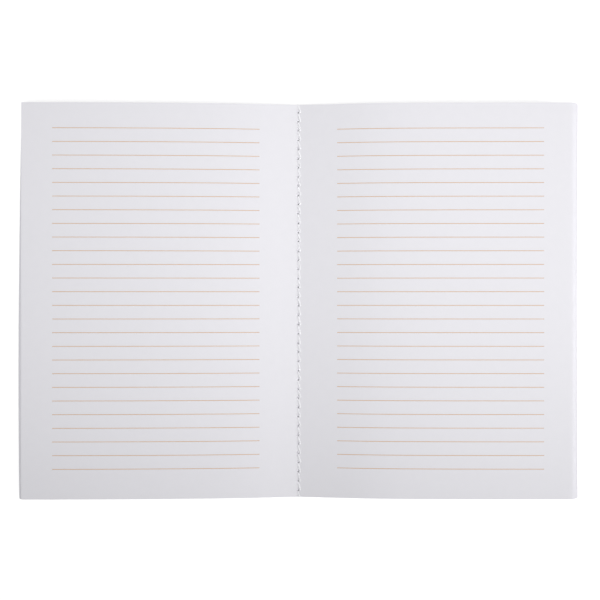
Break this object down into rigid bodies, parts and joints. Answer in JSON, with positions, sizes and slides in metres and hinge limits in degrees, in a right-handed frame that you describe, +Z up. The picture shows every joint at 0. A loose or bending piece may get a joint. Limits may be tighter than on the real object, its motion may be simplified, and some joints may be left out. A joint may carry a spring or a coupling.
{
  "type": "notebook",
  "caption": "Thin ruled notebook lying open at its centre spread, leaves fanned at both fore edges, sewn through the fold with white thread and closing about its spine.",
  "frame": {"origin": "middle of the open notebook's footprint, on the table", "axes": "+X across the spread from the front cover's half to the back cover's half, +Y from the foot to the head of the page, +Z up from the table"},
  "size_m": [0.2996, 0.21, 0.0097],
  "materials": {
    "card": "matte",
    "paper": "matte",
    "thread": "matte"
  },
  "bodies": {
    "back_half": {"back_cover": "card", "right_pages": "paper", "needle_thread": "thread", "bobbin_thread": "thread"},
    "front_half": {"front_cover": "card", "left_pages": "paper"}
  },
  "joints": [
    {"name": "spine_fold", "type": "hinge", "parent": "back_half", "child": "front_half", "pos_m": [-0.0005, 0, 0.00565], "axis": [0, 1, 0], "range_deg": [0, 174]}
  ]
}
